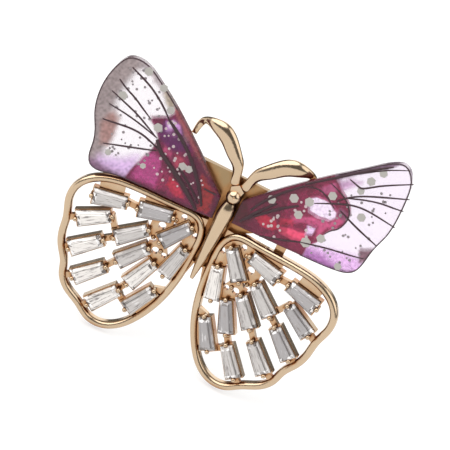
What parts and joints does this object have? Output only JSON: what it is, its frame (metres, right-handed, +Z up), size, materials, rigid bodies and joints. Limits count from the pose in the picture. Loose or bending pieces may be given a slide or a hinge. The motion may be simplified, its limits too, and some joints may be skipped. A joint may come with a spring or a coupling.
{
  "type": "butterfly brooch",
  "caption": "Butterfly brooch with openwork gem-set lower wings, translucent upper wings, curved antennae and a hinged pin with a safety catch.",
  "frame": {"origin": "middle of the pin stem's free stretch, on the stem's axis", "axes": "+X along the pin stem towards the catch, +Z up towards the butterfly's head, -Y out of the decorated front"},
  "size_m": [0.0544, 0.0107, 0.0522],
  "materials": {
    "gold": "polished plating",
    "crystal": "clear cut crystal with a foil back",
    "resin": "translucent dyed resin",
    "steel": "plated spring steel"
  },
  "bodies": {
    "brooch": {"antenna_left": "gold", "antenna_right": "gold", "body": "gold", "centre_plate": "gold", "hinge_rivet": "gold", "lower_frame_left": "gold", "lower_frame_right": "gold", "pin_bar": "gold", "stone_left_01": "crystal", "stone_left_02": "crystal", "stone_left_03": "crystal", "stone_left_04": "crystal", "stone_left_05": "crystal", "stone_left_06": "crystal", "stone_left_07": "crystal", "stone_left_08": "crystal", "stone_left_09": "crystal", "stone_left_10": "crystal", "stone_left_11": "crystal", "stone_left_12": "crystal", "stone_right_01": "crystal", "stone_right_02": "crystal", "stone_right_03": "crystal", "stone_right_04": "crystal", "stone_right_05": "crystal", "stone_right_06": "crystal", "stone_right_07": "crystal", "stone_right_08": "crystal", "stone_right_09": "crystal", "stone_right_10": "crystal", "stone_right_11": "crystal", "stone_right_12": "crystal", "upper_wing_left": "resin", "upper_wing_right": "resin"},
    "pin": {"pin_stem": "steel"},
    "catch": {"catch_sleeve": "gold"}
  },
  "joints": [
    {"name": "pin_hinge", "type": "hinge", "parent": "brooch", "child": "pin", "pos_m": [-0.0094, 0, 0], "axis": [0, 0, 1], "range_deg": [0, 95]},
    {"name": "catch_turn", "type": "hinge", "parent": "brooch", "child": "catch", "pos_m": [0.0084, 0, 0], "axis": [1, 0, 0], "range_deg": [0, 170]}
  ]
}
